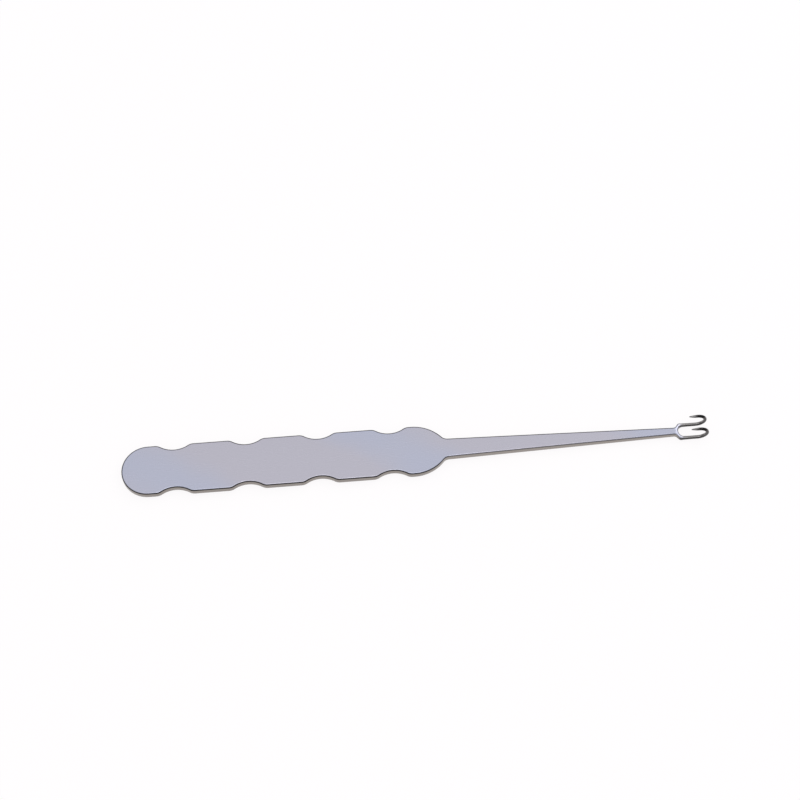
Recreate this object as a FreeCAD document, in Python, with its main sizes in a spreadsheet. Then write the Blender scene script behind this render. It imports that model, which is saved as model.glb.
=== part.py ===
"""Two-pronged skin hook: a flat scalloped handle, a tapering shank and a fork of two sharp hooks.

The instrument is one piece of stainless steel. It lies on its underside, hooks up. The frame stands at the
middle of its length, on the underside: +X points to the hooks, +Y to the left hook, +Z up. Lengths are in
millimetres and angles in degrees.
"""
import FreeCAD, Part
import math
import os

import Sketcher

NODE = "hook_retractor"

DRIVING_SIZES = [
    ("overall_length", 160.0, "from the butt of the handle to the outside of the hooks"),
    ("handle_width", 14.4, "across the flats between the finger scallops"),
    ("handle_thickness", 2.2, "plate of the handle"),
    ("scallop_count", 4, "finger scallops on each edge"),
    ("first_scallop", 14.4, "from the butt to the middle of the first scallop"),
    ("scallop_pitch", 19.6, "from one scallop to the next, about one finger"),
    ("scallop_radius", 7.0, "curve of a scallop"),
    ("scallop_depth", 1.5, "how far a scallop reaches into the edge"),
    ("scallop_corner", 3.0, "rounding of the corners of a scallop"),
    ("end_land", 5.9, "from the middle of the last scallop to where the handle starts to close"),
    ("closing_radius", 10.8, "arcs that close the handle to the shank"),
    ("shank_root_width", 5.6, "shank where it leaves the handle"),
    ("shank_root_round", 2.2, "hollow between the handle and the shank"),
    ("neck_width", 2.05, "shank where it meets the fork"),
    ("neck_thickness", 1.85, "shank where it meets the fork"),
    ("edge_break", 0.25, "chamfer that breaks every edge of the plate"),
    ("fork_length", 7.9, "from the bottom of the slot to the outside of the hooks"),
    ("prong_spacing", 3.9, "from the axis of one prong to the other"),
    ("prong_diameter", 0.95, "round section of the yoke and the prongs"),
    ("prong_height", 0.92, "axis of the prongs above the underside"),
    ("shoulder_angle", 53.0, "slope of the squared shoulders of the yoke"),
    ("shoulder_corner", 0.5, "bend of a shoulder's axis into the prong"),
    ("shoulder_diameter", 0.86, "round section of a shoulder, a little inside the prong's"),
    ("hook_radius", 2.37, "half turn that brings a prong back over itself"),
    ("point_root_diameter", 0.8, "prong at the end of the half turn, where its point starts"),
    ("point_length", 2.3, "ground part of a prong, from the half turn to the tip"),
    ("tip_diameter", 0.2, "left at the very tip"),
]

# Places that several features share, as expressions on the driving sizes.
BUTT_END = "-sizes.overall_length / 2"
BUTT_CENTRE = f"{BUTT_END} + sizes.handle_width / 2"
HANDLE_END = (f"{BUTT_END} + sizes.first_scallop + (sizes.scallop_count - 1) * sizes.scallop_pitch"
              " + sizes.end_land")
NECK_END = "sizes.overall_length / 2 - sizes.fork_length - sizes.prong_diameter / 2"
YOKE_CENTRE = f"{NECK_END} + sizes.prong_spacing / 2"
SHOULDER_END = f"{YOKE_CENTRE} + sizes.prong_diameter / 2"
HOOK_SIDE = "sizes.overall_length / 2 - sizes.prong_diameter / 2"
HOOK_CENTRE = f"{HOOK_SIDE} - sizes.hook_radius"
HOOK_MIDDLE = "sizes.prong_height + sizes.hook_radius"
POINT_HEIGHT = "sizes.prong_height + 2 * sizes.hook_radius"
NEAR_PRONG = "-sizes.prong_spacing / 2"

# How a sketch numbers its own origin and axes, and the ends and the middle of a curve.
ORIGIN = X_AXIS = -1
START, END, CENTRE = 1, 2, 3
# Two faces that meet under less than this angle, in degrees, run on smoothly.
SMOOTH_ANGLE = 5.0
# The property that holds the size of a fillet and of a chamfer.
SIZE_OF_DRESSING = {"Fillet": "Radius", "Chamfer": "Size"}


def vector(x, y, z=0.0):
    """A point or direction."""
    return FreeCAD.Vector(x, y, z)


def driving_sheet(doc):
    """The spreadsheet of driving sizes, one named cell a row."""
    sheet = doc.addObject("Spreadsheet::Sheet", "sizes")
    for row, (alias, value, meaning) in enumerate(DRIVING_SIZES, start=1):
        sheet.set(f"A{row}", alias)
        sheet.set(f"B{row}", str(value))
        sheet.set(f"C{row}", meaning)
        sheet.setAlias(f"B{row}", alias)
    doc.recompute()
    return sheet


def number(body, expression):
    """What an expression on the sizes comes to now."""
    return float(body.evalExpression(expression))


def origin_plane(body, plane):
    """One of the body's own three planes: XY, XZ or YZ."""
    return next(feature for feature in body.Origin.OriginFeatures if feature.Role == f"{plane}_Plane")


def new_sketch(body, name, plane, offset="0"):
    """A sketch on one of the body's own planes, moved along the plane's normal by an expression."""
    sketch = body.newObject("Sketcher::SketchObject", name)
    sketch.AttachmentSupport = (origin_plane(body, plane), [""])
    sketch.MapMode = "FlatFace"
    sketch.setExpression(".AttachmentOffset.Base.z", offset)
    return sketch


def relate(sketch, kind, *references):
    """A constraint without a size, such as tangent or symmetric."""
    sketch.addConstraint(Sketcher.Constraint(kind, *references))


def measure(body, sketch, kind, *references_and_expression):
    """A constraint whose size is an expression on the driving sizes."""
    *references, expression = references_and_expression
    value = number(body, expression)
    if kind == "Angle":
        index = sketch.addConstraint(Sketcher.Constraint(kind, *references, math.radians(value)))
        sketch.setExpression(f"Constraints[{index}]", f"({expression}) * 1 deg")
    else:
        index = sketch.addConstraint(Sketcher.Constraint(kind, *references, value))
        sketch.setExpression(f"Constraints[{index}]", expression)


def arc(centre, radius, start_angle, end_angle):
    """An arc about a centre, anticlockwise between two angles."""
    circle = Part.Circle(centre, vector(0, 0, 1), radius)
    return Part.ArcOfCircle(circle, math.radians(start_angle), math.radians(end_angle))


def pad(body, name, sketch, length):
    """Metal raised from a sketch."""
    feature = body.newObject("PartDesign::Pad", name)
    feature.Profile = sketch
    feature.setExpression("Length", length)
    body.Document.recompute()
    return feature


def pocket_through(body, name, sketch):
    """Metal cut right through, to both sides of a sketch."""
    feature = body.newObject("PartDesign::Pocket", name)
    feature.Profile = sketch
    feature.Type = "ThroughAll"
    feature.Midplane = True
    body.Document.recompute()
    return feature


def pipe(body, name, section, path, last_section=None):
    """A round section led along a path, and changed evenly to the last section where there is one."""
    feature = body.newObject("PartDesign::AdditivePipe", name)
    feature.Profile = section
    feature.Spine = path
    if last_section:
        feature.Transformation = "Multisection"
        feature.Sections = [(last_section, [""])]
    body.Document.recompute()
    return feature


def is_sharp(shape, edge):
    """Whether the two faces of an edge meet at a corner there and not in one smooth surface."""
    faces = shape.ancestorsOfType(edge, Part.Face)
    if len(faces) != 2:
        return False
    middle = edge.valueAt((edge.FirstParameter + edge.LastParameter) / 2)
    normals = [face.normalAt(*face.Surface.parameter(middle)) for face in faces]
    return math.degrees(normals[0].getAngle(normals[1])) > SMOOTH_ANGLE


def dress_edges(body, name, base, kind, size, wanted):
    """A fillet or a chamfer on the sharp edges of the last feature that a test picks."""
    shape = base.Shape
    picked = [f"Edge{index}" for index, edge in enumerate(shape.Edges, start=1)
              if is_sharp(shape, edge) and wanted(edge)]
    feature = body.newObject(f"PartDesign::{kind}", name)
    feature.Base = (base, picked)
    feature.setExpression(SIZE_OF_DRESSING[kind], size)
    body.Document.recompute()
    return feature


def stands_at(edge, distance):
    """Whether an edge is upright and lies at a distance from the middle line."""
    first, last = edge.Vertexes[0].Point, edge.Vertexes[-1].Point
    upright = math.hypot(first.x - last.x, first.y - last.y) < 1e-4
    return upright and abs(abs(first.y) - distance) < 1e-3


def plate_outline(body):
    """Plan of the handle and the shank, before the scallops."""
    half_width = number(body, "sizes.handle_width / 2")
    butt = number(body, BUTT_CENTRE)
    handle_end = number(body, HANDLE_END)
    neck_end = number(body, NECK_END)
    closing = number(body, "sizes.closing_radius")
    root_half = number(body, "sizes.shank_root_width / 2")
    neck_half = number(body, "sizes.neck_width / 2")
    centre_y = closing - half_width
    root_angle = math.degrees(math.asin((centre_y + root_half) / closing))
    root = handle_end + closing * math.cos(math.radians(root_angle))

    sketch = new_sketch(body, "plate_outline", "XY")
    (butt_arc, near_side, near_closing, near_shank,
     end, far_shank, far_closing, far_side) = sketch.addGeometry([
        arc(vector(butt, 0), half_width, 90, 270),
        Part.LineSegment(vector(butt, -half_width), vector(handle_end, -half_width)),
        arc(vector(handle_end, centre_y), closing, -90, -root_angle),
        Part.LineSegment(vector(root, -root_half), vector(neck_end, -neck_half)),
        Part.LineSegment(vector(neck_end, -neck_half), vector(neck_end, neck_half)),
        Part.LineSegment(vector(neck_end, neck_half), vector(root, root_half)),
        arc(vector(handle_end, -centre_y), closing, root_angle, 90),
        Part.LineSegment(vector(handle_end, half_width), vector(butt, half_width)),
    ])
    relate(sketch, "Tangent", butt_arc, END, near_side, START)
    relate(sketch, "Tangent", near_side, END, near_closing, START)
    relate(sketch, "Coincident", near_closing, END, near_shank, START)
    relate(sketch, "Coincident", near_shank, END, end, START)
    relate(sketch, "Coincident", end, END, far_shank, START)
    relate(sketch, "Coincident", far_shank, END, far_closing, START)
    relate(sketch, "Tangent", far_closing, END, far_side, START)
    relate(sketch, "Tangent", far_side, END, butt_arc, START)
    relate(sketch, "PointOnObject", butt_arc, CENTRE, X_AXIS)
    relate(sketch, "Horizontal", near_side)
    relate(sketch, "Symmetric", near_shank, START, far_shank, END, X_AXIS)
    relate(sketch, "Symmetric", near_shank, END, far_shank, START, X_AXIS)
    relate(sketch, "Symmetric", near_closing, CENTRE, far_closing, CENTRE, X_AXIS)
    measure(body, sketch, "DistanceX", ORIGIN, START, butt_arc, CENTRE, BUTT_CENTRE)
    measure(body, sketch, "Radius", butt_arc, "sizes.handle_width / 2")
    measure(body, sketch, "DistanceX", ORIGIN, START, near_closing, CENTRE, HANDLE_END)
    measure(body, sketch, "Radius", near_closing, "sizes.closing_radius")
    measure(body, sketch, "DistanceY", near_shank, START, far_shank, END, "sizes.shank_root_width")
    measure(body, sketch, "DistanceX", ORIGIN, START, end, START, NECK_END)
    measure(body, sketch, "DistanceY", near_shank, END, far_shank, START, "sizes.neck_width")
    return sketch


def plate(body):
    """Flat blank with its scallops, thinned along the shank, with every edge broken."""
    pad(body, "blank", plate_outline(body), "sizes.handle_thickness")

    across = "sizes.handle_width / 2 - sizes.scallop_depth + sizes.scallop_radius"
    first = f"{BUTT_END} + sizes.first_scallop"
    bites = new_sketch(body, "scallop_pair", "XY")
    for side in (-1, 1):
        middle = vector(number(body, first), side * number(body, across))
        bite = bites.addGeometry(Part.Circle(middle, vector(0, 0, 1), number(body, "sizes.scallop_radius")))
        measure(body, bites, "Radius", bite, "sizes.scallop_radius")
        measure(body, bites, "DistanceX", ORIGIN, START, bite, CENTRE, first)
        measure(body, bites, "DistanceY", ORIGIN, START, bite, CENTRE, f"{side} * ({across})")
    scallop = pocket_through(body, "scallop", bites)
    scallops = body.newObject("PartDesign::LinearPattern", "scallops")
    scallops.Originals = [scallop]
    scallops.Direction = (bites, ["H_Axis"])
    scallops.setExpression("Length", "(sizes.scallop_count - 1) * sizes.scallop_pitch")
    scallops.setExpression("Occurrences", "sizes.scallop_count")
    body.Tip = scallops
    body.Document.recompute()

    thinned = pocket_through(body, "shank_thinning", thinning_profile(body))
    handle_half = number(body, "sizes.handle_width / 2")
    root_half = number(body, "sizes.shank_root_width / 2")
    cornered = dress_edges(body, "scallop_corners", thinned, "Fillet", "sizes.scallop_corner",
                           lambda edge: stands_at(edge, handle_half))
    hollowed = dress_edges(body, "shank_root", cornered, "Fillet", "sizes.shank_root_round",
                           lambda edge: stands_at(edge, root_half))
    dress_edges(body, "broken_edges", hollowed, "Chamfer", "sizes.edge_break", lambda edge: True)


def thinning_profile(body):
    """Side view of what is taken off the shank: one long arc that leaves the handle's face tangentially."""
    start = number(body, HANDLE_END)
    neck_end = number(body, NECK_END)
    top = number(body, "sizes.handle_thickness")
    neck = number(body, "sizes.neck_thickness")
    run, drop = neck_end - start, top - neck
    radius = (run ** 2 + drop ** 2) / (2 * drop)
    turn = math.degrees(math.asin(run / radius))

    sketch = new_sketch(body, "thinning_profile", "XZ")
    face, wall, lid = sketch.addGeometry([
        arc(vector(start, top - radius), radius, 90 - turn, 90),
        Part.LineSegment(vector(neck_end, neck), vector(neck_end, top)),
        Part.LineSegment(vector(neck_end, top), vector(start, top)),
    ])
    relate(sketch, "Coincident", face, START, wall, START)
    relate(sketch, "Coincident", wall, END, lid, START)
    relate(sketch, "Tangent", lid, END, face, END)
    relate(sketch, "Vertical", wall)
    relate(sketch, "Horizontal", lid)
    measure(body, sketch, "DistanceX", ORIGIN, START, lid, END, HANDLE_END)
    measure(body, sketch, "DistanceY", ORIGIN, START, lid, END, "sizes.handle_thickness")
    measure(body, sketch, "DistanceX", ORIGIN, START, wall, START, NECK_END)
    measure(body, sketch, "DistanceY", ORIGIN, START, wall, START, "sizes.neck_thickness")
    return sketch


def round_section(body, name, diameter, plane, offset, across, up):
    """A circle across a prong, at a place on one of the planes."""
    sketch = new_sketch(body, name, plane, offset)
    middle = vector(number(body, across), number(body, up))
    circle = sketch.addGeometry(Part.Circle(middle, vector(0, 0, 1), number(body, f"{diameter} / 2")))
    measure(body, sketch, "Diameter", circle, diameter)
    measure(body, sketch, "DistanceX", ORIGIN, START, circle, CENTRE, across)
    measure(body, sketch, "DistanceY", ORIGIN, START, circle, CENTRE, up)
    return sketch


def yoke(body):
    """Round bar bent about the slot, from the hook of one prong to the hook of the other."""
    centre = number(body, YOKE_CENTRE)
    leg_end = number(body, HOOK_CENTRE)
    half = number(body, "sizes.prong_spacing / 2")
    path = new_sketch(body, "yoke_path", "XY", "sizes.prong_height")
    near_leg, turn, far_leg = path.addGeometry([
        Part.LineSegment(vector(leg_end, -half), vector(centre, -half)),
        arc(vector(centre, 0), half, 90, 270),
        Part.LineSegment(vector(centre, half), vector(leg_end, half)),
    ])
    relate(path, "Tangent", near_leg, END, turn, END)
    relate(path, "Tangent", turn, START, far_leg, START)
    relate(path, "Horizontal", near_leg)
    relate(path, "PointOnObject", turn, CENTRE, X_AXIS)
    relate(path, "Symmetric", near_leg, START, far_leg, END, X_AXIS)
    measure(body, path, "DistanceX", ORIGIN, START, turn, CENTRE, YOKE_CENTRE)
    measure(body, path, "Radius", turn, "sizes.prong_spacing / 2")
    measure(body, path, "DistanceX", ORIGIN, START, near_leg, START, HOOK_CENTRE)
    section = round_section(body, "yoke_section", "sizes.prong_diameter", "YZ", HOOK_CENTRE,
                            NEAR_PRONG, "sizes.prong_height")
    return pipe(body, "yoke", section, (path, [""]))


def shoulder(body):
    """Squared shoulder outside the yoke's bend: it leaves the neck at a slope and turns into the prong."""
    half = number(body, "sizes.prong_spacing / 2")
    slope = math.radians(number(body, "sizes.shoulder_angle"))
    corner = number(body, "sizes.shoulder_corner")
    centre = number(body, YOKE_CENTRE)
    root = centre - half / math.sin(slope)
    mitre = centre - half * math.tan(slope / 2)
    setback = corner * math.tan(slope / 2)
    foot = vector(mitre - setback * math.cos(slope), -half + setback * math.sin(slope))

    path = new_sketch(body, "shoulder_path", "XY", "sizes.prong_height")
    ring, ramp, turn, run = path.addGeometry([
        Part.Circle(vector(centre, 0), vector(0, 0, 1), half),
        Part.LineSegment(vector(root, 0), foot),
        arc(vector(mitre + setback, -half + corner), corner, 270 - math.degrees(slope), 270),
        Part.LineSegment(vector(mitre + setback, -half), vector(number(body, SHOULDER_END), -half)),
    ])
    path.toggleConstruction(ring)
    relate(path, "PointOnObject", ring, CENTRE, X_AXIS)
    measure(body, path, "DistanceX", ORIGIN, START, ring, CENTRE, YOKE_CENTRE)
    measure(body, path, "Radius", ring, "sizes.prong_spacing / 2")
    relate(path, "PointOnObject", ramp, START, X_AXIS)
    relate(path, "Tangent", ramp, ring)
    relate(path, "Tangent", ramp, END, turn, START)
    relate(path, "Tangent", turn, END, run, START)
    relate(path, "Horizontal", run)
    measure(body, path, "Radius", turn, "sizes.shoulder_corner")
    measure(body, path, "Angle", ramp, "-sizes.shoulder_angle")
    measure(body, path, "DistanceX", ORIGIN, START, run, END, SHOULDER_END)
    measure(body, path, "DistanceY", ORIGIN, START, run, END, NEAR_PRONG)
    section = round_section(body, "shoulder_section", "sizes.shoulder_diameter", "YZ", SHOULDER_END,
                            NEAR_PRONG, "sizes.prong_height")
    return pipe(body, "shoulder", section, (path, [""]))


def hook(body):
    """Half turn in an upright plane: even up to the hook's outermost place, then thinning to the point."""
    radius = number(body, "sizes.hook_radius")
    centre = vector(number(body, HOOK_CENTRE), number(body, HOOK_MIDDLE))
    path = new_sketch(body, "hook_path", "XZ", "sizes.prong_spacing / 2")
    lower, upper = path.addGeometry([
        arc(centre, radius, -90, 0),
        arc(centre, radius, 0, 90),
    ])
    relate(path, "Tangent", lower, END, upper, START)
    relate(path, "Vertical", lower, START, lower, CENTRE)
    relate(path, "Horizontal", lower, END, lower, CENTRE)
    relate(path, "Vertical", upper, END, upper, CENTRE)
    relate(path, "Equal", lower, upper)
    measure(body, path, "Radius", lower, "sizes.hook_radius")
    measure(body, path, "DistanceX", ORIGIN, START, lower, CENTRE, HOOK_CENTRE)
    measure(body, path, "DistanceY", ORIGIN, START, lower, CENTRE, HOOK_MIDDLE)

    foot = round_section(body, "hook_foot", "sizes.prong_diameter", "YZ", HOOK_CENTRE,
                         NEAR_PRONG, "sizes.prong_height")
    rising = pipe(body, "rising_quarter", foot, (path, ["Edge1"]))
    side = round_section(body, "hook_side", "sizes.prong_diameter", "XY", HOOK_MIDDLE,
                         HOOK_SIDE, NEAR_PRONG)
    head = round_section(body, "hook_head", "sizes.point_root_diameter", "YZ", HOOK_CENTRE,
                         NEAR_PRONG, POINT_HEIGHT)
    returning = pipe(body, "returning_quarter", side, (path, ["Edge2"]), head)
    return rising, returning


def point(body):
    """Ground end of a prong, turned from a long arc that swells to the wire's thickness."""
    root = number(body, HOOK_CENTRE)
    height = number(body, POINT_HEIGHT)
    length = number(body, "sizes.point_length")
    thick = number(body, "sizes.point_root_diameter / 2")
    blunt = number(body, "sizes.tip_diameter / 2")
    swell = (length ** 2 + (thick - blunt) ** 2) / (2 * (thick - blunt))
    turn = math.degrees(math.asin(length / swell))

    profile = new_sketch(body, "point_profile", "XZ", "sizes.prong_spacing / 2")
    base, ground, end, middle = profile.addGeometry([
        Part.LineSegment(vector(root, height), vector(root, height + thick)),
        arc(vector(root, height + thick - swell), swell, 90, 90 + turn),
        Part.LineSegment(vector(root - length, height + blunt), vector(root - length, height)),
        Part.LineSegment(vector(root - length, height), vector(root, height)),
    ])
    relate(profile, "Coincident", base, END, ground, START)
    relate(profile, "Coincident", ground, END, end, START)
    relate(profile, "Coincident", end, END, middle, START)
    relate(profile, "Coincident", middle, END, base, START)
    relate(profile, "Vertical", base)
    relate(profile, "Vertical", end)
    relate(profile, "Horizontal", middle)
    relate(profile, "PointOnObject", ground, CENTRE, base)
    measure(body, profile, "DistanceX", ORIGIN, START, base, START, HOOK_CENTRE)
    measure(body, profile, "DistanceY", ORIGIN, START, base, START, POINT_HEIGHT)
    measure(body, profile, "Distance", base, "sizes.point_root_diameter / 2")
    measure(body, profile, "Distance", end, "sizes.tip_diameter / 2")
    measure(body, profile, "Distance", middle, "sizes.point_length")
    turned = body.newObject("PartDesign::Revolution", "point")
    turned.Profile = profile
    turned.ReferenceAxis = (profile, ["Edge4"])
    body.Document.recompute()
    return turned


def opposite(body, *features):
    """The same features on the other side of the middle line."""
    mirrored = body.newObject("PartDesign::Mirrored", "far_prong")
    mirrored.Originals = list(features)
    mirrored.MirrorPlane = (origin_plane(body, "XZ"), [""])
    body.Tip = mirrored
    body.Document.recompute()
    return mirrored


def build(doc):
    """The whole instrument in one body."""
    driving_sheet(doc)
    body = doc.addObject("PartDesign::Body", NODE)
    body.Label = NODE
    doc.recompute()
    plate(body)
    yoke(body)
    near_shoulder = shoulder(body)
    rising, returning = hook(body)
    near_point = point(body)
    opposite(body, near_shoulder, rising, returning, near_point)
    return body


def check(doc, body):
    """Stop where a feature failed or the instrument isn't one sound solid."""
    failed = [item.Name for item in doc.Objects if "Invalid" in item.State or "Error" in item.State]
    if failed:
        raise RuntimeError(f"these features failed: {failed}")
    if body.Shape.isNull() or not body.Shape.isValid() or len(body.Shape.Solids) != 1:
        raise RuntimeError(f"{body.Label} isn't one sound solid")


def main():
    """Build the document and write the instrument's solid."""
    doc = FreeCAD.newDocument(NODE)
    body = build(doc)
    check(doc, body)
    os.makedirs("parts", exist_ok=True)
    body.Shape.exportStep(f"parts/{body.Label}.step")
    print(f"{body.Label}: {body.Shape.Volume:.2f} mm3, {len(body.Shape.Faces)} faces")


main()
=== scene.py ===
"""Two-pronged skin hook of satin stainless steel, lying on a pale studio floor with its hooks up.

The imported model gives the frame: +X along the shank to the hooks, +Y to the left hook, +Z up, with the floor at
zero. Sizes are in millimetres until a finished mesh is brought to metres.
"""
import logging
import math
from dataclasses import dataclass
from enum import Enum
from typing import Any

import bmesh
import bpy
from bmesh.types import BMesh, BMEdge, BMFace, BMVert
from mathutils import Matrix, Vector


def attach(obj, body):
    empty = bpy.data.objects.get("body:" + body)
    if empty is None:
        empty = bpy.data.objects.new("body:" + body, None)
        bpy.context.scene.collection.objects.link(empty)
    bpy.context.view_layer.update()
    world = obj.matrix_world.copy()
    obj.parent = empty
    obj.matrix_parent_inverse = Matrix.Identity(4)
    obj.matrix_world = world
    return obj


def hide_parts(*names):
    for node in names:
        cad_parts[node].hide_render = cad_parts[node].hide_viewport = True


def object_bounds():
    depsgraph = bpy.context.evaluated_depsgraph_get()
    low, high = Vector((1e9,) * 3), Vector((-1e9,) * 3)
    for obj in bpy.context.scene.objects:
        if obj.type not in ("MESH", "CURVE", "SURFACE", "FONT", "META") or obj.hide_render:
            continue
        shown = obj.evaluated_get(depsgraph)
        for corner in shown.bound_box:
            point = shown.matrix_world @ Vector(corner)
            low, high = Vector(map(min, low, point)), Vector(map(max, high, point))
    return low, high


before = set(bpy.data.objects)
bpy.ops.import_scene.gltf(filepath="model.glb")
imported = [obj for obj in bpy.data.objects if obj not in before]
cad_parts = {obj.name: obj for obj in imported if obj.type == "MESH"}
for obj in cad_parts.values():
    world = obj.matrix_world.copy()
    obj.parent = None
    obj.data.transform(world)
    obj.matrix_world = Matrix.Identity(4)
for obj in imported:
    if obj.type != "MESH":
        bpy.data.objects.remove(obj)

CAD_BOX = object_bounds()
NODE = "hook_retractor"
BODY = "root"
MM = 0.001
Z_AXIS = Vector((0.0, 0.0, 1.0))
# Vertices that lie this near, in millimetres, are one.
MERGE = 1e-4

log = logging.getLogger("skin_hook")

Point = tuple[float, float]


def linear(hex_colour: str) -> tuple[float, float, float, float]:
    """Turns an sRGB colour into the linear colour that a shader takes.

    Args:
        hex_colour: six hexadecimal digits, red first.

    Returns:
        Linear red, green and blue, with full alpha.
    """
    channels = []
    for place in (0, 2, 4):
        value = int(hex_colour[place:place + 2], 16) / 255
        channels.append(value / 12.92 if value <= 0.04045 else ((value + 0.055) / 1.055) ** 2.4)
    return (*channels, 1.0)


def add_node(tree: bpy.types.NodeTree, kind: str, settings: dict[str, Any] | None = None,
             inputs: dict[str | int, Any] | None = None) -> bpy.types.Node:
    """Adds a node, sets it and links it.

    Args:
        tree: node tree that gets the node.
        kind: the node's type name.
        settings: properties of the node by name.
        inputs: for an input's name or number, its value or the output that feeds it.

    Returns:
        The new node.
    """
    node = tree.nodes.new(kind)
    for name, value in (settings or {}).items():
        setattr(node, name, value)
    for name, value in (inputs or {}).items():
        if isinstance(value, bpy.types.NodeSocket):
            tree.links.new(value, node.inputs[name])
        else:
            node.inputs[name].default_value = value
    return node


def smooth_step(value: float, start: float, end: float) -> float:
    """Rises from 0 at the start to 1 at the end, level at both."""
    share = min(max((value - start) / (end - start), 0.0), 1.0)
    return share * share * (3 - 2 * share)


class Side(Enum):
    """The two sides of the upright plane through the length."""

    NEAR = -1
    FAR = 1


class Finish(Enum):
    """Attributes that tell the steel's finishes, its painted shade and its painted reflections apart, by their
    names in the mesh.
    """

    SIDE = "ground_side_and_shade"
    EDGE = "painted_edge_reflection"
    TINE = "drawn_tine_and_near_shade"
    BEND = "painted_prong_shade"


class Pen:
    """Draws joined edges in plan, from point to point."""

    def __init__(self, mesh: BMesh, start: Point) -> None:
        """Sets the pen down.

        Args:
            mesh: mesh that gets the line.
            start: first point of the line, in plan.
        """
        self.mesh = mesh
        self.tip: BMVert = mesh.verts.new((*start, 0.0))
        self.trail: list[BMVert] = [self.tip]

    def line(self, end: Point, steps: int = 1) -> None:
        """Draws a straight run.

        Args:
            end: last point of the run.
            steps: edges that it takes.
        """
        stride = (Vector((*end, 0.0)) - self.tip.co) / steps
        for _ in range(steps):
            self.tip = bmesh.ops.extrude_vert_indiv(self.mesh, verts=[self.tip])["verts"][0]
            bmesh.ops.translate(self.mesh, verts=[self.tip], vec=stride)
            self.trail.append(self.tip)

    def turn(self, centre: Point, degrees: float, steps: int) -> None:
        """Draws an arc.

        Args:
            centre: middle of the arc.
            degrees: how far it turns, anticlockwise from above.
            steps: edges that it takes.
        """
        for _ in range(steps):
            turned = bmesh.ops.spin(self.mesh, geom=[self.tip], cent=(*centre, 0.0), axis=Z_AXIS,
                                    angle=math.radians(degrees / steps), steps=1, use_duplicate=False)
            self.tip = next(item for item in turned["geom_last"] if isinstance(item, BMVert))
            self.trail.append(self.tip)

    def edges(self, first: int = 0, last: int | None = None) -> list[BMEdge]:
        """Gives the edges between two places of the trail."""
        run = self.trail[first:last]
        return [edge for start, end in zip(run, run[1:]) for edge in start.link_edges
                if edge.other_vert(start) is end]


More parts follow.
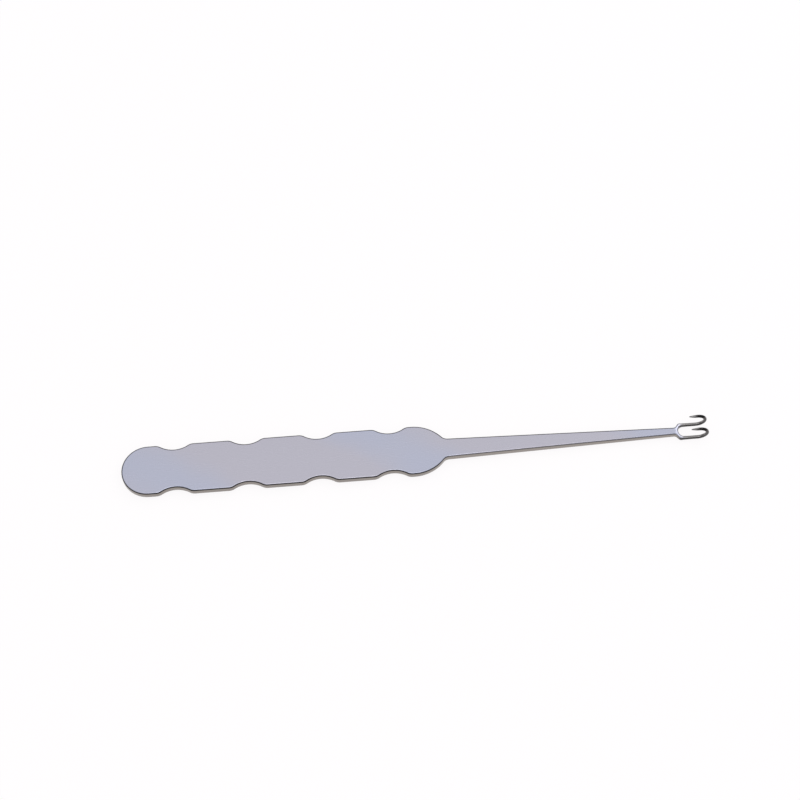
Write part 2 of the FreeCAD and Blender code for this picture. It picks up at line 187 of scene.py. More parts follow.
@dataclass
class Plate:
    """Flat handle with its finger scallops, and the shank that thins towards the fork."""

    length: float
    width: float
    thickness: float = 2.2
    scallops: int = 4
    first_scallop: float = 14.4
    scallop_pitch: float = 19.6
    scallop_radius: float = 7.0
    scallop_depth: float = 1.5
    scallop_corner: float = 3.0
    end_land: float = 5.9
    closing_radius: float = 10.8
    shank_root: float = 5.6
    shank_root_round: float = 2.2
    neck_width: float = 2.05
    neck_thickness: float = 1.85
    edge_round: float = 0.4
    edge_segments: int = 6
    butt_core: float = 3.6
    # Edges drawn along each run of the outline.
    butt_steps: int = 48
    land_steps: int = 5
    corner_steps: int = 8
    scallop_steps: int = 36
    closing_steps: int = 40
    root_steps: int = 8
    # Strength of the painted dark line along the edges, a painted reflection of the rounded rims, 1 at most; the
    # near edge has 1 at the corners of the scallops.
    handle_edge_line: float = 0.92
    shank_edge_line: float = 0.5
    far_edge_line: float = 1.0
    # Distances from a corner, and past the handle's end, over which the near edge's painted darkness changes.
    corner_fade: Point = (0.5, 2.0)
    handle_fade: Point = (4.0, 12.0)
    # The painted edge line starts and ends between these upright parts of the direction that the surface faces,
    # and goes from the near edge's to the far one's between these parts of it along Y.
    foot_band: Point = (0.0, 0.25)
    near_band: Point = (0.8, 0.95)
    far_band: Point = (0.966, 0.9995)
    near_to_far: Point = (-0.2, 0.2)

    @property
    def butt(self) -> float:
        """Place of the butt along the length."""
        return -self.length / 2

    @property
    def scallop_corner_reach(self) -> float:
        """Distance along the length from the middle of a scallop to each of its corners."""
        return math.sqrt(self.scallop_radius ** 2 - (self.scallop_radius - self.scallop_depth) ** 2)

    @property
    def handle_end(self) -> float:
        """Place where the handle starts to close."""
        return self.butt + self.first_scallop + (self.scallops - 1) * self.scallop_pitch + self.end_land

    def draw(self, pen: Pen, neck_end: float) -> float:
        """Draws the near outline, from the butt to the foot of the shank's side.

        Args:
            pen: pen that stands at the butt.
            neck_end: place along the length that the shank's width is given for.

        Returns:
            The slope of the shank's side in radians.
        """
        half = self.width / 2
        pen.turn((self.butt + half, 0.0), 90, self.butt_steps)
        across = half - self.scallop_corner
        reach = self.scallop_radius + self.scallop_corner
        depth = half - self.scallop_depth + self.scallop_radius - across
        spread = math.sqrt(reach ** 2 - depth ** 2)
        corner_turn = math.degrees(math.asin(spread / reach))
        for number in range(self.scallops):
            middle = self.butt + self.first_scallop + number * self.scallop_pitch
            pen.line((middle - spread, -half), self.land_steps)
            pen.turn((middle - spread, -across), corner_turn, self.corner_steps)
            pen.turn((middle, -across - depth), -2 * corner_turn, self.scallop_steps)
            pen.turn((middle + spread, -across), corner_turn, self.corner_steps)
        pen.line((self.handle_end, -half))

        centre_y = self.closing_radius - half
        root_angle = math.asin((centre_y + self.shank_root / 2) / self.closing_radius)
        root = Vector((self.handle_end + self.closing_radius * math.cos(root_angle), -self.shank_root / 2))
        slope = math.atan2((self.shank_root - self.neck_width) / 2, neck_end - root.x)
        along, outward = Vector((math.cos(slope), math.sin(slope))), Vector((math.sin(slope), -math.cos(slope)))
        closing_centre = Vector((self.handle_end, centre_y))
        start = root + outward * self.shank_root_round - closing_centre
        reach = self.closing_radius + self.shank_root_round
        advance = -start.dot(along) + math.sqrt(start.dot(along) ** 2 - start.length_squared + reach ** 2)
        hollow = root + outward * self.shank_root_round + along * advance
        towards = hollow - closing_centre
        closing_turn = 90 + math.degrees(math.atan2(towards.y, towards.x))
        pen.turn(tuple(closing_centre), closing_turn, self.closing_steps)
        pen.turn(tuple(hollow), math.degrees(slope) - closing_turn, self.root_steps)
        return slope

    def gather(self, verts: list[BMVert]) -> None:
        """Brings copies of the outline's points to the middle line, and fans out those of the butt's half circle.

        Args:
            verts: copies of the outline's points.
        """
        half = self.width / 2
        for vert in verts:
            vert.co.y = 0.0
            reach = self.butt + half - vert.co.x
            if reach > 0.0:
                turned = math.acos(min(reach / half, 1.0)) / (math.pi / 2)
                vert.co.x = self.butt + half - self.butt_core * (1 - turned)

    def painted_edge_line(self, place: float, normal: Vector) -> float:
        """Tells how strong the painted dark line along the edges is, a painted reflection of the rounded rims.

        The near edge's painted line is darkest at the corners of the scallops and lightest along the shank; the
        far one is even.

        Args:
            place: place along the length.
            normal: direction that the surface faces.

        Returns:
            Darkness, from 0 to 1.
        """
        upright = abs(normal.z)
        far = self.far_edge_line * (1.0 - smooth_step(upright, *self.far_band))
        corners = (self.butt + self.first_scallop + number * self.scallop_pitch + side * self.scallop_corner_reach
                   for number in range(self.scallops) for side in (-1, 1))
        nearest = min(abs(place - corner) for corner in corners)
        near = self.handle_edge_line + (1.0 - self.handle_edge_line) * (1.0 - smooth_step(nearest, *self.corner_fade))
        near += (self.shank_edge_line - near) * smooth_step(place - self.handle_end, *self.handle_fade)
        near *= 1.0 - smooth_step(upright, *self.near_band)
        share = smooth_step(normal.y, *self.near_to_far)
        return smooth_step(upright, *self.foot_band) * (near + (far - near) * share)

    def top(self, place: float, neck_end: float) -> float:
        """Gives the height of the upper face at a place along the length."""
        if place <= self.handle_end:
            return self.thickness
        run, drop = neck_end - self.handle_end, self.thickness - self.neck_thickness
        radius = (run ** 2 + drop ** 2) / (2 * drop)
        return self.thickness - radius + math.sqrt(radius ** 2 - (place - self.handle_end) ** 2)


@dataclass
class Fork:
    """Yoke about a round-bottomed slot, and two round prongs turned up and back into sharp hooks."""

    end: float
    length: float = 7.9
    spacing: float = 3.9
    diameter: float = 0.95
    axis_height: float = 0.92
    shoulder_slope: float = 53.0
    shoulder_corner: float = 0.5
    neck_hollow: float = 1.0
    approach: float = 4.0
    thinning_start: float = 70.9
    thinning_end: float = 73.7
    hook_radius: float = 2.37
    point_root: float = 0.8
    point_length: float = 2.3
    tip: float = 0.2
    rounding_length: float = 1.6
    # Part along the length of the direction that a prong's end face has at least.
    end_face: float = 0.99
    # Edges drawn along each run of the outline, and rings along a hook.
    neck_steps: int = 30
    approach_steps: int = 8
    hollow_steps: int = 6
    ramp_steps: int = 5
    shoulder_steps: int = 8
    yoke_steps: int = 3
    prong_steps: int = 12
    quarter_steps: int = 18
    point_steps: int = 12
    # The prongs' finish starts between the first distances from the neck's end, and on the near side of the yoke,
    # as painted shade, between the second ones; a surface counts as the near side between these parts of its
    # direction along -Y.
    finish_lead: float = 0.4
    finish_tail: float = 0.6
    near_shade_fade: Point = (-0.3, 0.4)
    near_shade_band: Point = (0.25, 0.8)
    # Strength of the painted shade on a prong's near side and at its point's end, 1 being that over the top of the
    # bend.
    side_shade: float = 0.85
    end_shade: float = 0.7
    # Degrees of the bend, distances from the bend's centre and distances from the point's end for those.
    bend_fade: Point = (115.0, 140.0)
    bend_reach: Point = (-1.4, 0.2)
    end_reach: Point = (0.1, 0.8)

    @property
    def radius(self) -> float:
        """Half of a prong's diameter."""
        return self.diameter / 2

    @property
    def neck_end(self) -> float:
        """Place where the middle of the yoke's bar crosses the middle line."""
        return self.end - self.length - self.radius

    @property
    def slot_centre(self) -> float:
        """Place of the middle of the slot's round bottom."""
        return self.neck_end + self.spacing / 2

    @property
    def slot_radius(self) -> float:
        """Radius of the slot's round bottom."""
        return self.spacing / 2 - self.radius

    @property
    def hook_centre(self) -> float:
        """Place of the axis that both hooks turn about."""
        return self.end - self.radius - self.hook_radius

    def draw_outside(self, pen: Pen, slope: float) -> int:
        """Draws the near outline, from the shank's side round the shoulder to the foot of the hook.

        Args:
            pen: pen that stands at the foot of the shank's side.
            slope: slope of the shank's side in radians.

        Returns:
            The place in the pen's trail that lies across from the bottom of the slot.
        """
        ramp = math.radians(self.shoulder_slope)
        half = self.spacing / 2
        ramp_foot = Vector((self.slot_centre - half / math.sin(ramp) - self.radius / math.sin(ramp), 0.0))
        ramp_along = Vector((math.cos(ramp), -math.sin(ramp)))
        side_start = Vector(pen.tip.co.xy)
        side_along = Vector((math.cos(slope), math.sin(slope)))
        offset = side_start - ramp_foot
        advance = -offset.cross(ramp_along) / side_along.cross(ramp_along)
        corner = side_start + side_along * advance
        turn = ramp + slope
        setback = self.neck_hollow * math.tan(turn / 2)
        hollow_start = corner - side_along * setback
        hollow_centre = hollow_start + Vector((side_along.y, -side_along.x)) * self.neck_hollow
        mitre = self.slot_centre - half * math.tan(ramp / 2)
        shoulder = Vector((mitre + self.shoulder_corner * math.tan(ramp / 2), -half + self.shoulder_corner))
        shoulder_radius = self.shoulder_corner + self.radius
        ramp_end = shoulder + Vector((-math.sin(ramp), -math.cos(ramp))) * shoulder_radius

        pen.line(tuple(hollow_start - side_along * self.approach), self.neck_steps)
        pen.line(tuple(hollow_start), self.approach_steps)
        across_slot = len(pen.trail) - 1
        pen.turn(tuple(hollow_centre), -math.degrees(turn), self.hollow_steps)
        pen.line(tuple(ramp_end), self.ramp_steps)
        pen.turn(tuple(shoulder), self.shoulder_slope, self.shoulder_steps)
        pen.line((self.slot_centre, -half - self.radius), self.yoke_steps)
        pen.line((self.hook_centre, -half - self.radius), self.prong_steps)
        return across_slot

    def draw_slot(self, pen: Pen, facing: list[BMVert]) -> None:
        """Draws the near half of the slot, from its bottom to the foot of the hook.

        Args:
            pen: pen that stands at the bottom of the slot.
            facing: points of the outside from across the slot to the foot of the hook, each of which gets a point
                of the slot about square across from it.
        """
        bends = [math.atan2(-vert.co.y, self.slot_centre - vert.co.x) for vert in facing[:-self.prong_steps]]
        spread = 90 / (bends[-1] - bends[0])
        for before, after in zip(bends, bends[1:]):
            pen.turn((self.slot_centre, 0.0), (after - before) * spread, 1)
        pen.line((self.hook_centre, -self.slot_radius), self.prong_steps)

    def reach_slot(self, verts: list[BMVert]) -> None:
        """Spreads the middle line's last points, so that the line ends at the bottom of the slot.

        Args:
            verts: points of the middle line.
        """
        last = max(vert.co.x for vert in verts)
        gap = self.slot_centre - self.slot_radius - last
        for vert in verts:
            vert.co.x += gap * smooth_step(vert.co.x, last - self.approach, last)

    def drawn(self, place: float, normal: Vector) -> float:
        """Tells how far the steel has the prongs' finish, which starts sooner on the near side of the yoke as
        painted shade.

        Args:
            place: place along the length.
            normal: direction that the surface faces.

        Returns:
            Share of the prongs' finish, with the painted near-side shade, from 0 to 1.
        """
        # Painted shade: the yoke's near side takes the prongs' darker grey sooner.
        painted_near_shade = smooth_step(-normal.y, *self.near_shade_band) * smooth_step(place - self.neck_end, *self.near_shade_fade)
        along = smooth_step(place, self.neck_end - self.finish_lead, self.slot_centre + self.finish_tail)
        return max(along, painted_near_shade)

    def bend_shade(self, place: Vector, normal: Vector) -> float:
        """Tells how much painted shade a prong gets: most along its near side, over the top of its bend and at the
        point's end.

        Args:
            place: place in the node's frame.
            normal: direction that the surface faces.

        Returns:
            Strength of the painted shade, from 0 to 1.
        """
        # Painted shade along a prong's near side, over the top of its bend and at the point's end.
        painted_near_shade = self.side_shade * smooth_step(-normal.y, *self.near_shade_band)
        height = self.axis_height + self.hook_radius
        turned = 90 + math.degrees(math.atan2(place.z - height, max(place.x - self.hook_centre, 0.0) + MERGE))
        bend = smooth_step(turned, *self.bend_fade) * smooth_step(place.x - self.hook_centre, *self.bend_reach)
        point = self.hook_centre - self.point_length
        end = self.end_shade * (1.0 - smooth_step(place.x - point, *self.end_reach))
        return max(painted_near_shade, max(bend, end) if place.z > height else 0.0)

    def round_prongs(self, mesh: BMesh) -> None:
        """Brings the prongs from the yoke's squarer bar to a true round section."""
        for vert in mesh.verts:
            share = smooth_step(vert.co.x, self.slot_centre, self.slot_centre + self.rounding_length)
            if share > 0.0:
                axis = Vector((vert.co.x, math.copysign(self.spacing / 2, vert.co.y), self.axis_height))
                vert.co = vert.co.lerp(axis + (vert.co - axis).normalized() * self.radius, share)

    def grow_hook(self, mesh: BMesh, side: Side) -> None:
        """Turns a prong's end up and back, and draws it out to its point.

        Args:
            mesh: mesh whose prongs end in an upright face at the foot of the hook.
            side: side that the prong is on.
        """
        across = side.value * self.spacing / 2
        ring = next(face for face in mesh.faces if face.normal.x > self.end_face
                    and abs(face.calc_center_median().x - self.hook_centre) < MERGE
                    and face.calc_center_median().y * side.value > 0.0)
        pivot = Vector((self.hook_centre, across, self.axis_height + self.hook_radius))
        step = math.pi / 2 / self.quarter_steps
        radius = self.radius
        for count in range(2 * self.quarter_steps):
            turned = bmesh.ops.spin(mesh, geom=self.whole(ring), cent=pivot, axis=(0.0, -1.0, 0.0), angle=step,
                                    steps=1, use_duplicate=False)
            ring = next(item for item in turned["geom_last"] if isinstance(item, BMFace))
            share = max(count + 1 - self.quarter_steps, 0) / self.quarter_steps
            wanted = self.radius + (self.point_root / 2 - self.radius) * share
            self.resize(mesh, ring, wanted / radius)
            radius = wanted

        thick, blunt = self.point_root / 2, self.tip / 2
        swell = (self.point_length ** 2 + (thick - blunt) ** 2) / (2 * (thick - blunt))
        for count in range(self.point_steps):
            reach = self.point_length * (count + 1) / self.point_steps
            grown = bmesh.ops.extrude_face_region(mesh, geom=self.whole(ring))["geom"]
            ring = next(item for item in grown if isinstance(item, BMFace))
            bmesh.ops.translate(mesh, verts=ring.verts[:], vec=(-self.point_length / self.point_steps, 0, 0))
            wanted = thick - swell + math.sqrt(swell ** 2 - reach ** 2)
            self.resize(mesh, ring, wanted / radius)
            radius = wanted

    @staticmethod
    def whole(ring: BMFace) -> list[BMFace | BMEdge | BMVert]:
        """Gives an end face with its edges and corners, so that growing it leaves no wall behind."""
        return [ring, *ring.edges, *ring.verts]

    @staticmethod
    def resize(mesh: BMesh, ring: BMFace, factor: float) -> None:
        """Scales an end face about its own middle."""
        bmesh.ops.scale(mesh, verts=ring.verts[:], vec=(factor,) * 3,
                        space=Matrix.Translation(-ring.calc_center_median()))


@dataclass
class Retractor:
    """The whole instrument, one piece of steel from the butt to the points."""

    plate: Plate
    fork: Fork
    name: str = "retractor"
    # The yoke's flat faces are cut this often, where their edges across are longer than this and they start no
    # further than this before its thinning.
    yoke_cuts: int = 3
    yoke_cut_length: float = 0.3
    yoke_cut_lead: float = 0.6
    # Upright part of the direction that a flat face has at least, and that an upright face has at most.
    flat_face: float = 0.999
    upright_face: float = 0.5
    # Upright parts of the direction between which the ground side's finish, darkened partly as painted shade,
    # gives way to the flat's.
    side_band: Point = (0.2, 0.85)
    # Distances from the neck's end between which the painted edge line ends.
    edge_line_end: Point = (-0.8, 0.2)

    def lay_out(self, mesh: BMesh) -> None:
        """Lays out the plan as one flat sheet of faces."""
        outside = Pen(mesh, (self.plate.butt, 0.0))
        slope = self.plate.draw(outside, self.fork.neck_end)
        across_slot = self.fork.draw_outside(outside, slope)
        slot = Pen(mesh, (self.fork.slot_centre - self.fork.slot_radius, 0.0))
        self.fork.draw_slot(slot, outside.trail[across_slot:])

        bmesh.ops.bridge_loops(mesh, edges=outside.edges(across_slot) + slot.edges())
        grown = bmesh.ops.extrude_edge_only(mesh, edges=outside.edges(0, across_slot + 1))["geom"]
        middle = [item for item in grown if isinstance(item, BMVert)]
        self.plate.gather(middle)
        self.fork.reach_slot(middle)
        bmesh.ops.mirror(mesh, geom=mesh.verts[:] + mesh.edges[:] + mesh.faces[:], merge_dist=MERGE, axis="Y")
        bmesh.ops.remove_doubles(mesh, verts=mesh.verts[:], dist=MERGE)
        bmesh.ops.recalc_face_normals(mesh, faces=mesh.faces[:])

    def thicken(self, mesh: BMesh) -> None:
        """Raises the sheet to the handle's thickness."""
        grown = bmesh.ops.extrude_face_region(mesh, geom=mesh.faces[:])["geom"]
        upper = [item for item in grown if isinstance(item, BMVert)]
        bmesh.ops.translate(mesh, verts=upper, vec=(0.0, 0.0, self.plate.thickness))
        bmesh.ops.recalc_face_normals(mesh, faces=mesh.faces[:])

    def round_edges(self, mesh: BMesh) -> None:
        """Rounds the upper and lower rims, but not the prongs' ends."""
        mesh.normal_update()
        rims = []
        for edge in mesh.edges:
            upright = [abs(face.normal.z) < self.upright_face for face in edge.link_faces]
            at_end = all(vert.co.x > self.fork.hook_centre - MERGE for vert in edge.verts)
            if sorted(upright) == [False, True] and not at_end:
                rims.append(edge)
        bmesh.ops.bevel(mesh, geom=rims, offset=self.plate.edge_round, offset_type="OFFSET",
                        segments=self.plate.edge_segments, profile=0.5, affect="EDGES", material=-1,
                        clamp_overlap=False, loop_slide=False)
        mesh.normal_update()

    def refine_yoke(self, mesh: BMesh) -> None:
        """Divides the yoke's flat faces across, so that they can follow its thinning."""
        start = self.fork.thinning_start - self.yoke_cut_lead
        across = [edge for edge in mesh.edges if edge.calc_length() > self.yoke_cut_length
                  and all(abs(face.normal.z) > self.flat_face for face in edge.link_faces)
                  and max(vert.co.x for vert in edge.verts) > start
                  and max(abs(vert.co.y) for vert in edge.verts) > MERGE]
        bmesh.ops.subdivide_edges(mesh, edges=across, cuts=self.yoke_cuts, use_grid_fill=True)

    def thin_out(self, mesh: BMesh) -> None:
        """Thins the shank from above, and the yoke from above and below to the prongs."""
        bar_top = self.fork.axis_height + self.fork.radius
        bar_under = self.fork.axis_height - self.fork.radius
        for vert in mesh.verts:
            share = smooth_step(vert.co.x, self.fork.thinning_start, self.fork.thinning_end)
            if vert.co.z > self.plate.thickness / 2:
                plate_top = self.plate.top(min(vert.co.x, self.fork.neck_end), self.fork.neck_end)
                vert.co.z += plate_top + (bar_top - plate_top) * share - self.plate.thickness
            else:
                vert.co.z += bar_under * share

    def mark_finishes(self, mesh: BMesh) -> None:
        """Marks on each vertex how far it belongs to the sides, which are darker partly as painted shade, the
        painted dark line along the edges, the prongs with painted shade on the yoke's near side, and the prongs'
        painted shade.

        Args:
            mesh: finished mesh, in metres.
        """
        mesh.normal_update()
        layers = {finish: mesh.verts.layers.float.new(finish.value) for finish in Finish}
        for vert in mesh.verts:
            place, upright = vert.co.x / MM, abs(vert.normal.z)
            # The ground sides, darkened partly as painted shade.
            vert[layers[Finish.SIDE]] = 1.0 - smooth_step(upright, *self.side_band)
            on_plate = 1.0 - smooth_step(place - self.fork.neck_end, *self.edge_line_end)
            # Painted reflection: the dark line along the edges.
            vert[layers[Finish.EDGE]] = on_plate * self.plate.painted_edge_line(place, vert.normal)
            # The prongs' finish, with painted shade on the yoke's near side.
            vert[layers[Finish.TINE]] = self.fork.drawn(place, vert.normal)
            # Painted shade on the prongs.
            vert[layers[Finish.BEND]] = self.fork.bend_shade(vert.co / MM, vert.normal)

    def model(self) -> bpy.types.Object:
        """Builds the instrument's mesh.

        Returns:
            The instrument's object, in metres.
        """
        mesh = bmesh.new()
        self.lay_out(mesh)
        self.thicken(mesh)
        self.round_edges(mesh)
        self.refine_yoke(mesh)
        self.thin_out(mesh)
        self.fork.round_prongs(mesh)
        mesh.normal_update()
        for side in Side:
            self.fork.grow_hook(mesh, side)
        bmesh.ops.remove_doubles(mesh, verts=mesh.verts[:], dist=MERGE)
        bmesh.ops.recalc_face_normals(mesh, faces=mesh.faces[:])
        bmesh.ops.scale(mesh, verts=mesh.verts[:], vec=(MM,) * 3)
        for face in mesh.faces:
            face.smooth = True
        self.mark_finishes(mesh)
        data = bpy.data.meshes.new(self.name)
        mesh.to_mesh(data)
        mesh.free()
        piece = bpy.data.objects.new(self.name, data)
        bpy.context.scene.collection.objects.link(piece)
        shading = piece.modifiers.new("even_shading", "WEIGHTED_NORMAL")
        shading.weight = 50
        shading.keep_sharp = True
        return piece


@dataclass(frozen=True)
class SatinSteel:
    """Satin-ground stainless steel, which gives the eye a soft even sheen with a faint grain along the length.

    A painted dark line round the flat stands in for the reflection along the rounded edges, and painted bluish
    bands across it stand in for reflections; the ground sides are darker partly as painted shade, and the drawn
    prongs are a darker grey with painted shade on their near sides, over the tops of their bends and at the
    points' ends.
    """

    name: str = "satin_ground_stainless_steel"
    flat: str = "b8b6c2"
    # Painted reflection: the bluish colour of the bands across the flat.
    painted_blue_reflection: str = "b3b6c8"
    # The ground sides' colour, darker than the flat partly as painted shade.
    side: str = "9b948e"
    # Painted reflection: the dark line along the rounded edges.
    edge: str = "1a191b"
    tine: str = "989595"
    # Painted shade on the prongs' near sides, over the tops of their bends and at the points' ends.
    bend: str = "2e2d2d"
    roughness: float = 0.28
    side_roughness: float = 0.22
    # Grit lines are about 0.02 mm wide; they are drawn ten times as coarse so that they show at all.
    grain_width: float = 0.2
    grain_length: float = 9.0
    roughness_swing: float = 0.03
    bump_strength: float = 0.1
    bump_depth: float = 0.01
    # Painted bluish bands, standing in for reflections, cross the length this far apart, slanting, and clouds of
    # this size break them up.
    band_spacing: float = 70.0
    band_slant: float = 1.4
    band_shift: float = -3.0
    cloud: float = 22.0
    cloud_share: float = 1.6
    band_start: float = 0.75
    band_full: float = 2.0

    def material(self) -> bpy.types.Material:
        """Makes the material."""
        made = bpy.data.materials.new(self.name)
        made.use_nodes = True
        tree = made.node_tree
        tree.nodes.clear()
        place = add_node(tree, "ShaderNodeTexCoord").outputs["Object"]
        stretch = (1 / (self.grain_length * MM), 1 / (self.grain_width * MM), 1 / (self.grain_width * MM))
        along = add_node(tree, "ShaderNodeMapping", inputs={"Vector": place, "Scale": stretch})
        grain = add_node(tree, "ShaderNodeTexNoise", inputs={
            "Vector": along.outputs["Vector"], "Scale": 1.0, "Detail": 3.0, "Roughness": 0.6}).outputs["Fac"]
        clouds = add_node(tree, "ShaderNodeTexNoise", inputs={
            "Vector": place, "Scale": 1 / (self.cloud * MM), "Detail": 2.0, "Roughness": 0.5}).outputs["Fac"]
        side = add_node(tree, "ShaderNodeAttribute", {"attribute_name": Finish.SIDE.value}).outputs["Fac"]
        edge = add_node(tree, "ShaderNodeAttribute", {"attribute_name": Finish.EDGE.value}).outputs["Fac"]
        tine = add_node(tree, "ShaderNodeAttribute", {"attribute_name": Finish.TINE.value}).outputs["Fac"]

        # Painted reflection: slanting bluish bands broken up by clouds.
        turn = math.tau / (self.band_spacing * MM)
        phase = add_node(tree, "ShaderNodeVectorMath", {"operation": "DOT_PRODUCT"}, {
            0: place, 1: (turn, self.band_slant * turn, 0.0)}).outputs["Value"]
        phase = add_node(tree, "ShaderNodeMath", {"operation": "SUBTRACT"}, {
            0: phase, 1: self.band_shift * MM * turn}).outputs[0]
        wave = add_node(tree, "ShaderNodeMath", {"operation": "COSINE"}, {0: phase}).outputs[0]
        wave = add_node(tree, "ShaderNodeMath", {"operation": "MULTIPLY_ADD"}, {
            0: clouds, 1: self.cloud_share, 2: wave}).outputs[0]
        painted_blue_reflection = add_node(tree, "ShaderNodeMapRange", {"interpolation_type": "SMOOTHSTEP"}, {
            "Value": wave, "From Min": self.band_start, "From Max": self.band_full}).outputs["Result"]
        colour = add_node(tree, "ShaderNodeMix", {"data_type": "RGBA"}, {
            0: painted_blue_reflection, 6: linear(self.flat), 7: linear(self.painted_blue_reflection)}).outputs[2]
        # The ground sides, darker partly as painted shade.
        colour = add_node(tree, "ShaderNodeMix", {"data_type": "RGBA"}, {
            0: side, 6: colour, 7: linear(self.side)}).outputs[2]
        # Painted reflection: the dark line along the edges.
        colour = add_node(tree, "ShaderNodeMix", {"data_type": "RGBA"}, {
            0: edge, 6: colour, 7: linear(self.edge)}).outputs[2]
        # Painted shade on the prongs, mixed into their drawn grey.
        bend = add_node(tree, "ShaderNodeAttribute", {"attribute_name": Finish.BEND.value}).outputs["Fac"]
        drawn = add_node(tree, "ShaderNodeMix", {"data_type": "RGBA"}, {
            0: bend, 6: linear(self.tine), 7: linear(self.bend)}).outputs[2]
        colour = add_node(tree, "ShaderNodeMix", {"data_type": "RGBA"}, {
            0: tine, 6: colour, 7: drawn}).outputs[2]
        ground = add_node(tree, "ShaderNodeMapRange", inputs={
            "Value": tine, "To Min": 1.0, "To Max": 0.0}).outputs["Result"]
        grain = add_node(tree, "ShaderNodeMath", {"operation": "MULTIPLY"}, {0: grain, 1: ground}).outputs[0]
        lines = add_node(tree, "ShaderNodeMapRange", inputs={
            "Value": grain, "To Min": -self.roughness_swing, "To Max": self.roughness_swing}).outputs["Result"]
        level = add_node(tree, "ShaderNodeMapRange", inputs={
            "Value": side, "To Min": self.roughness, "To Max": self.side_roughness}).outputs["Result"]
        roughness = add_node(tree, "ShaderNodeMath", {"operation": "ADD"}, {0: level, 1: lines}).outputs[0]
        bump = add_node(tree, "ShaderNodeBump", inputs={
            "Strength": self.bump_strength, "Distance": self.bump_depth * MM, "Height": grain}).outputs["Normal"]
        steel = add_node(tree, "ShaderNodeBsdfPrincipled", inputs={
            "Base Color": colour, "Metallic": 1.0, "Roughness": roughness, "Normal": bump})
        add_node(tree, "ShaderNodeOutputMaterial", inputs={"Surface": steel.outputs["BSDF"]})
        return made


@dataclass(frozen=True)
class PaleFloor:
    """Matt white paper sweep, which the eye reads as an even white ground."""

    name: str = "matt_white_paper"
    colour: str = "f6f6f6"
    ground: str = "fffdfe"
    evenness: float = 0.9

    def material(self) -> bpy.types.Material:
        """Makes the material: paper that keeps a shadow, and plain white to the camera and in the steel."""
        made = bpy.data.materials.new(self.name)
        made.use_nodes = True
        tree = made.node_tree
        tree.nodes.clear()
        ray = add_node(tree, "ShaderNodeLightPath")
        seen = add_node(tree, "ShaderNodeMath", {"operation": "ADD"}, {
            0: ray.outputs["Is Camera Ray"], 1: ray.outputs["Is Glossy Ray"]})
        seen = add_node(tree, "ShaderNodeMath", {"operation": "ADD", "use_clamp": True}, {
            0: seen.outputs[0], 1: ray.outputs["Is Transmission Ray"]})
        share = add_node(tree, "ShaderNodeMath", {"operation": "MULTIPLY"}, {0: seen.outputs[0], 1: self.evenness})
        paper = add_node(tree, "ShaderNodeBsdfDiffuse", inputs={"Color": linear(self.colour)})
        white = add_node(tree, "ShaderNodeEmission", inputs={"Color": linear(self.ground), "Strength": 1.0})
        both = add_node(tree, "ShaderNodeMixShader", inputs={
            0: share.outputs[0], 1: paper.outputs["BSDF"], 2: white.outputs["Emission"]})
        add_node(tree, "ShaderNodeOutputMaterial", inputs={"Surface": both.outputs["Shader"]})
        return made


@dataclass(frozen=True)
class GreyScreen:
    """Grey cloth lit from above, which shows in the steel as the darker lines along its edges."""

    name: str = "matt_grey_cloth"
    height: str = "height_share"
    low: float = 0.35
    fade_start: float = 0.55

    def material(self) -> bpy.types.Material:
        """Makes the material: grey at the foot, and as bright as the room at the head."""
        made = bpy.data.materials.new(self.name)
        made.use_nodes = True
        tree = made.node_tree
        tree.nodes.clear()
        height = add_node(tree, "ShaderNodeAttribute", {"attribute_name": self.height}).outputs["Fac"]
        level = add_node(tree, "ShaderNodeMapRange", {"interpolation_type": "SMOOTHSTEP"}, {
            "Value": height, "From Min": self.fade_start, "To Min": self.low}).outputs["Result"]
        cloth = add_node(tree, "ShaderNodeEmission", inputs={"Strength": level})
        add_node(tree, "ShaderNodeOutputMaterial", inputs={"Surface": cloth.outputs["Emission"]})
        return made


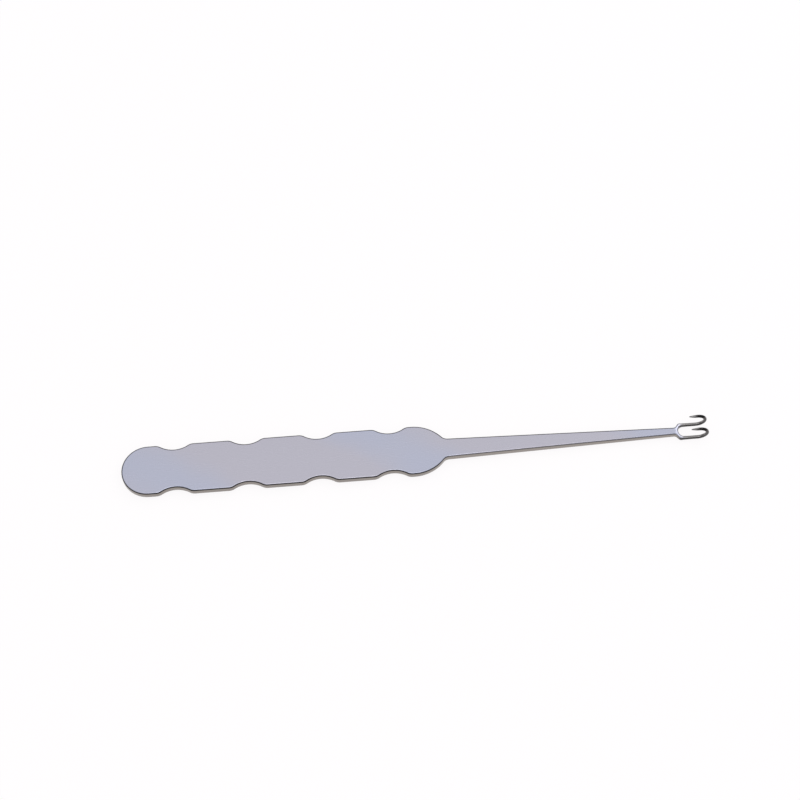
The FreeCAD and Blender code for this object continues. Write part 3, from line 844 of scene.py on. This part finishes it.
@dataclass
class Studio:
    """Pale floor, soft light from above, and the camera at the photograph's view.

    The camera's sizes are in degrees and millimetres, and those of the floor, the lamps and the screen in metres.
    """

    elevation: float = 62.0
    yaw: float = 5.034
    distance: float = 493.04
    aim: tuple[float, float, float] = (-2.86, 16.605, 0.0)
    pixel: float = 0.1387
    roll: float = 0.18
    lens: float = 80.0
    sensor: float = 36.0
    clip_start: float = 0.01
    floor_size: float = 4.0
    lamp_size: float = 0.4
    lamp_level: float = 2.2
    overhead: tuple[float, float, float] = (0.0, -0.15, 1.2)
    beyond: tuple[float, float, float] = (0.6, 0.41, 0.49)
    room_colour: str = "ffffff"
    screen_radius: float = 0.8
    screen_foot: float = 0.02
    screen_front: float = 1.3
    screen_back: float = 0.72
    screen_steps: int = 64

    def floor(self) -> None:
        """Lays the floor."""
        mesh = bmesh.new()
        bmesh.ops.create_grid(mesh, x_segments=1, y_segments=1, size=self.floor_size / 2)
        data = bpy.data.meshes.new("floor")
        mesh.to_mesh(data)
        mesh.free()
        data.materials.append(PaleFloor().material())
        plane = bpy.data.objects.new("floor", data)
        bpy.context.scene.collection.objects.link(plane)

    def camera(self) -> None:
        """Sets the camera up where the photograph was taken from."""
        elevation, yaw = math.radians(self.elevation), math.radians(self.yaw)
        level = Vector((math.sin(yaw), math.cos(yaw), 0.0))
        right = Vector((math.cos(yaw), -math.sin(yaw), 0.0))
        forward = level * math.cos(elevation) - Z_AXIS * math.sin(elevation)
        above = right.cross(forward)
        place = Vector(self.aim) - forward * self.distance + (above - right) * self.pixel
        roll = math.radians(self.roll)
        turned_right = right * math.cos(roll) + above * math.sin(roll)
        turned_above = above * math.cos(roll) - right * math.sin(roll)
        data = bpy.data.cameras.new("camera")
        data.lens = self.lens
        data.sensor_width = self.sensor
        data.clip_start = self.clip_start
        camera = bpy.data.objects.new("camera", data)
        camera.matrix_world = Matrix((
            (turned_right.x, turned_above.x, -forward.x, place.x * MM),
            (turned_right.y, turned_above.y, -forward.y, place.y * MM),
            (turned_right.z, turned_above.z, -forward.z, place.z * MM),
            (0.0, 0.0, 0.0, 1.0)))
        bpy.context.scene.collection.objects.link(camera)
        bpy.context.scene.camera = camera

    def lamp(self, name: str, place: tuple[float, float, float]) -> None:
        """Hangs a soft lamp that faces the instrument.

        Args:
            name: the lamp's name.
            place: where it hangs, in metres.
        """
        data = bpy.data.lights.new(name, "AREA")
        data.shape = "SQUARE"
        data.size = self.lamp_size
        data.energy = self.lamp_level * math.pi * self.lamp_size ** 2
        lamp = bpy.data.objects.new(name, data)
        lamp.location = place
        lamp.rotation_euler = Vector(place).to_track_quat("Z", "Y").to_euler()
        bpy.context.scene.collection.objects.link(lamp)

    def room(self) -> None:
        """Makes the white room about the instrument."""
        world = bpy.data.worlds.new("white_room")
        world.use_nodes = True
        tree = world.node_tree
        tree.nodes.clear()
        sky = add_node(tree, "ShaderNodeBackground", inputs={"Color": linear(self.room_colour), "Strength": 1.0})
        add_node(tree, "ShaderNodeOutputWorld", inputs={"Surface": sky.outputs["Background"]})
        bpy.context.scene.world = world
        bpy.context.scene.view_settings.view_transform = "Standard"

    def screen(self) -> None:
        """Stands a grey screen round the instrument, which only the steel mirrors, to draw its edges."""
        mesh = bmesh.new()
        foot = mesh.verts.new((0.0, -self.screen_radius, self.screen_foot))
        head = mesh.verts.new((0.0, -self.screen_radius, self.screen_front))
        edge = mesh.edges.new((foot, head))
        bmesh.ops.spin(mesh, geom=[foot, head, edge], cent=(0, 0, 0), axis=Z_AXIS, angle=math.tau,
                       steps=self.screen_steps, use_merge=True, use_duplicate=False)
        cloth = GreyScreen()
        height = mesh.verts.layers.float.new(cloth.height)
        for vert in mesh.verts:
            if vert.co.z > self.screen_foot + MERGE:
                share = (vert.co.y / self.screen_radius + 1) / 2
                vert.co.z = self.screen_front + (self.screen_back - self.screen_front) * share
                vert[height] = 1.0
        data = bpy.data.meshes.new("screen")
        mesh.to_mesh(data)
        mesh.free()
        data.materials.append(cloth.material())
        screen = bpy.data.objects.new("screen", data)
        bpy.context.scene.collection.objects.link(screen)
        screen.visible_camera = False
        screen.visible_diffuse = False
        screen.visible_transmission = False
        screen.visible_shadow = False


def main() -> None:
    """Builds the instrument and its studio."""
    logging.basicConfig(level=logging.INFO, format="%(message)s")
    low, high = (corner / MM for corner in (Vector(CAD_BOX[0]), Vector(CAD_BOX[1])))
    plate = Plate(length=high.x - low.x, width=high.y - low.y)
    fork = Fork(end=high.x)
    retractor = Retractor(plate, fork)
    piece = retractor.model()
    piece.data.materials.append(SatinSteel().material())
    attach(piece, BODY)
    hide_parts(NODE)
    log.info("%s: %d faces", piece.name, len(piece.data.polygons))
    studio = Studio()
    studio.floor()
    studio.camera()
    studio.lamp("overhead", studio.overhead)
    studio.lamp("beyond", studio.beyond)
    studio.room()
    studio.screen()


if __name__ == "__main__":
    main()
